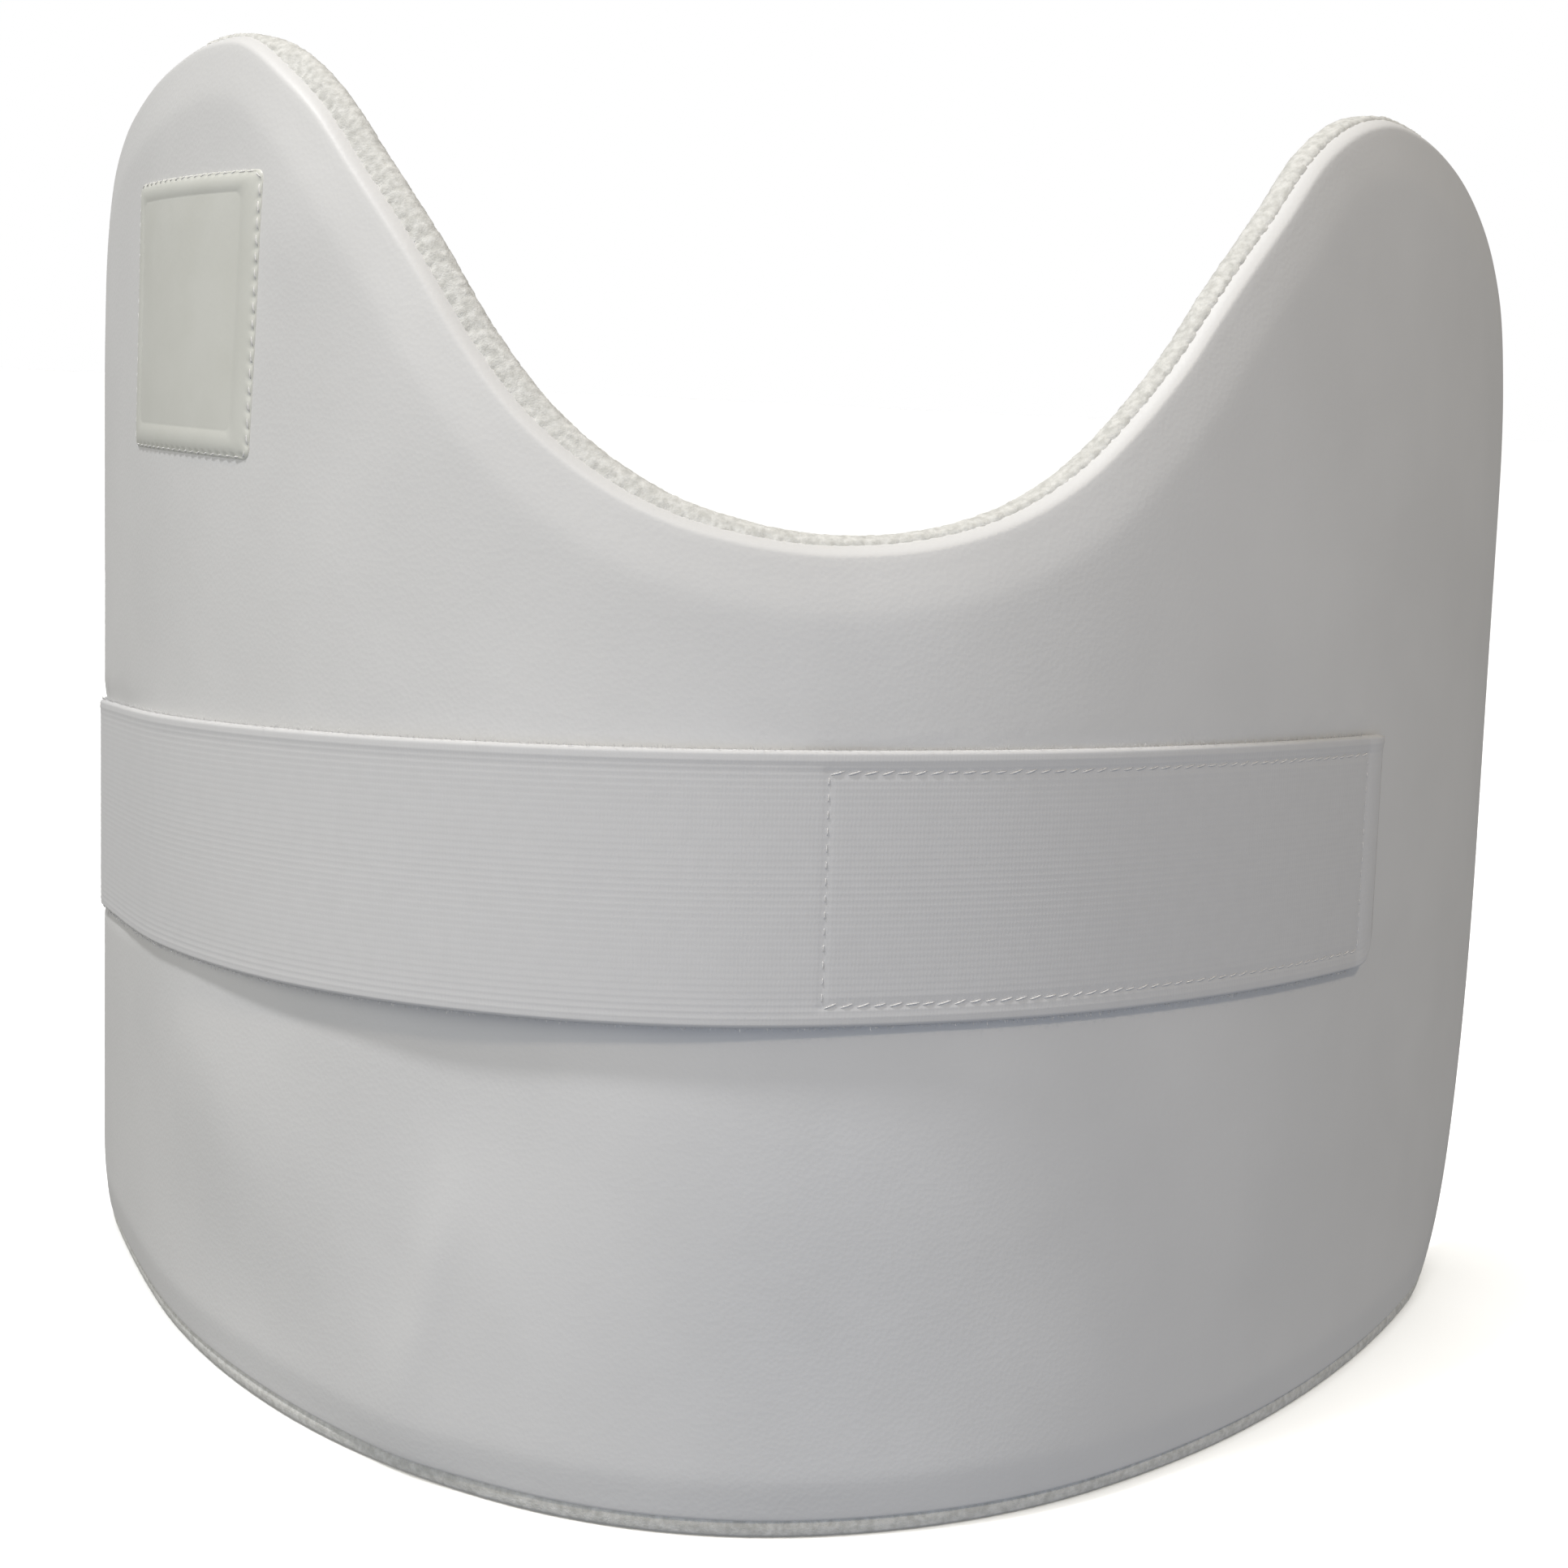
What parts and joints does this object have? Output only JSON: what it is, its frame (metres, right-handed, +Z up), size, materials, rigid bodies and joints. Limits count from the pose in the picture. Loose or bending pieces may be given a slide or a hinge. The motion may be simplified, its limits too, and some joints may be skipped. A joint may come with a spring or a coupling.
{
  "type": "chest guard",
  "caption": "Curved padded sports chest guard with a deep neck scoop between rounded peaks, towelling lining, blank sewn badge and a wide elastic strap hooked across the front.",
  "frame": {"origin": "on the floor, under the middle of the guard's bounding box", "axes": "+X to the viewer's right across the guard, +Y from the front towards the wearer, +Z up from the hem to the peaks"},
  "size_m": [0.3456, 0.1832, 0.2731],
  "materials": {
    "coated_leather": "satin white polyurethane coating with a fine grain",
    "towelling": "matt looped cotton pile",
    "moulded_badge": "smooth satin moulded face with a raised bead",
    "elastic": "matt ribbed woven elastic",
    "hook_tape": "matt nylon hook tape"
  },
  "bodies": {
    "root": {"chest_panel": "coated_leather", "lining": "towelling", "badge": "moulded_badge", "strap": "elastic", "hook_patch": "hook_tape"}
  },
  "joints": []
}
